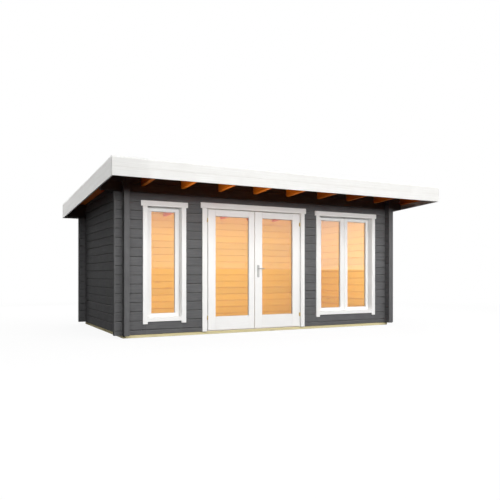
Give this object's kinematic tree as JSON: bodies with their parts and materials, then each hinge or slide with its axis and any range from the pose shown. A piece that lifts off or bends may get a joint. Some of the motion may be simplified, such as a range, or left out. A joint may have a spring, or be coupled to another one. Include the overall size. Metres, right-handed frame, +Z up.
{
  "type": "garden office pod",
  "caption": "Log garden office with a pent roof and front canopy, hinged glazed double door, single and double windows, hollow room with a board floor.",
  "frame": {"origin": "on the ground, under the middle of the roof's outline", "axes": "+X to the right seen from the front, +Y to the back, +Z up"},
  "size_m": [5.705, 3.854, 2.4551],
  "materials": {
    "bare_pine": "planed, untreated",
    "dark_painted_log": "planed pine under dark grey paint",
    "foundation_timber": "impregnated sawn timber",
    "glass": "clear double glazing",
    "handle_steel": "brushed",
    "hinge_brass": "brushed",
    "roof_felt": "mineral felt, matte",
    "trim_metal": "painted light grey",
    "white_painted_wood": "white satin paint"
  },
  "bodies": {
    "cabin": {"back_top_log": "dark_painted_log", "back_wall": "dark_painted_log", "door_casing_head": "white_painted_wood", "door_casing_left_leg": "white_painted_wood", "door_casing_right_leg": "white_painted_wood", "door_frame": "white_painted_wood", "double_window_casing": "white_painted_wood", "double_window_frame": "white_painted_wood", "double_window_glass": "glass", "double_window_sashes": "white_painted_wood", "end_boards_back_left": "dark_painted_log", "end_boards_back_right": "dark_painted_log", "end_boards_front_left": "dark_painted_log", "end_boards_front_right": "dark_painted_log", "fascia_back": "white_painted_wood", "fascia_front": "white_painted_wood", "fascia_left": "white_painted_wood", "fascia_right": "white_painted_wood", "floor": "bare_pine", "foundation_front_back_beams": "foundation_timber", "foundation_joists": "foundation_timber", "front_top_log": "dark_painted_log", "front_wall_left_of_door": "dark_painted_log", "front_wall_left_pier": "dark_painted_log", "front_wall_over_openings": "dark_painted_log", "front_wall_right_of_door": "dark_painted_log", "front_wall_right_pier": "dark_painted_log", "front_wall_under_double_window": "dark_painted_log", "front_wall_under_single_window": "dark_painted_log", "left_hinge_pins": "hinge_brass", "left_wall": "dark_painted_log", "rafters": "bare_pine", "right_hinge_pins": "hinge_brass", "right_wall": "dark_painted_log", "roof_boards": "bare_pine", "roof_covering": "roof_felt", "roof_edge_trim": "trim_metal", "single_window_casing": "white_painted_wood", "single_window_frame": "white_painted_wood", "single_window_glass": "glass", "single_window_sash": "white_painted_wood"},
    "left_leaf": {"left_door_leaf": "white_painted_wood", "left_door_glass": "glass", "left_hinge_sleeves": "hinge_brass"},
    "right_leaf": {"right_door_leaf": "white_painted_wood", "right_door_glass": "glass", "right_hinge_sleeves": "hinge_brass", "door_handle_plates": "handle_steel"},
    "lever": {"door_lever": "handle_steel"}
  },
  "joints": [
    {"name": "left_leaf_hinge", "type": "hinge", "parent": "cabin", "child": "left_leaf", "pos_m": [-1.148, -1.043, 1], "axis": [0, 0, -1], "range_deg": [0, 120]},
    {"name": "right_leaf_hinge", "type": "hinge", "parent": "cabin", "child": "right_leaf", "pos_m": [0.546, -1.043, 1], "axis": [0, 0, 1], "range_deg": [0, 120]},
    {"name": "lever_turn", "type": "hinge", "parent": "right_leaf", "child": "lever", "pos_m": [-0.251, -1.035, 1.027], "axis": [0, 1, 0], "range_deg": [0, 45], "stiffness_Nm_per_rad": 1.5, "springref_deg": -34.38}
  ]
}
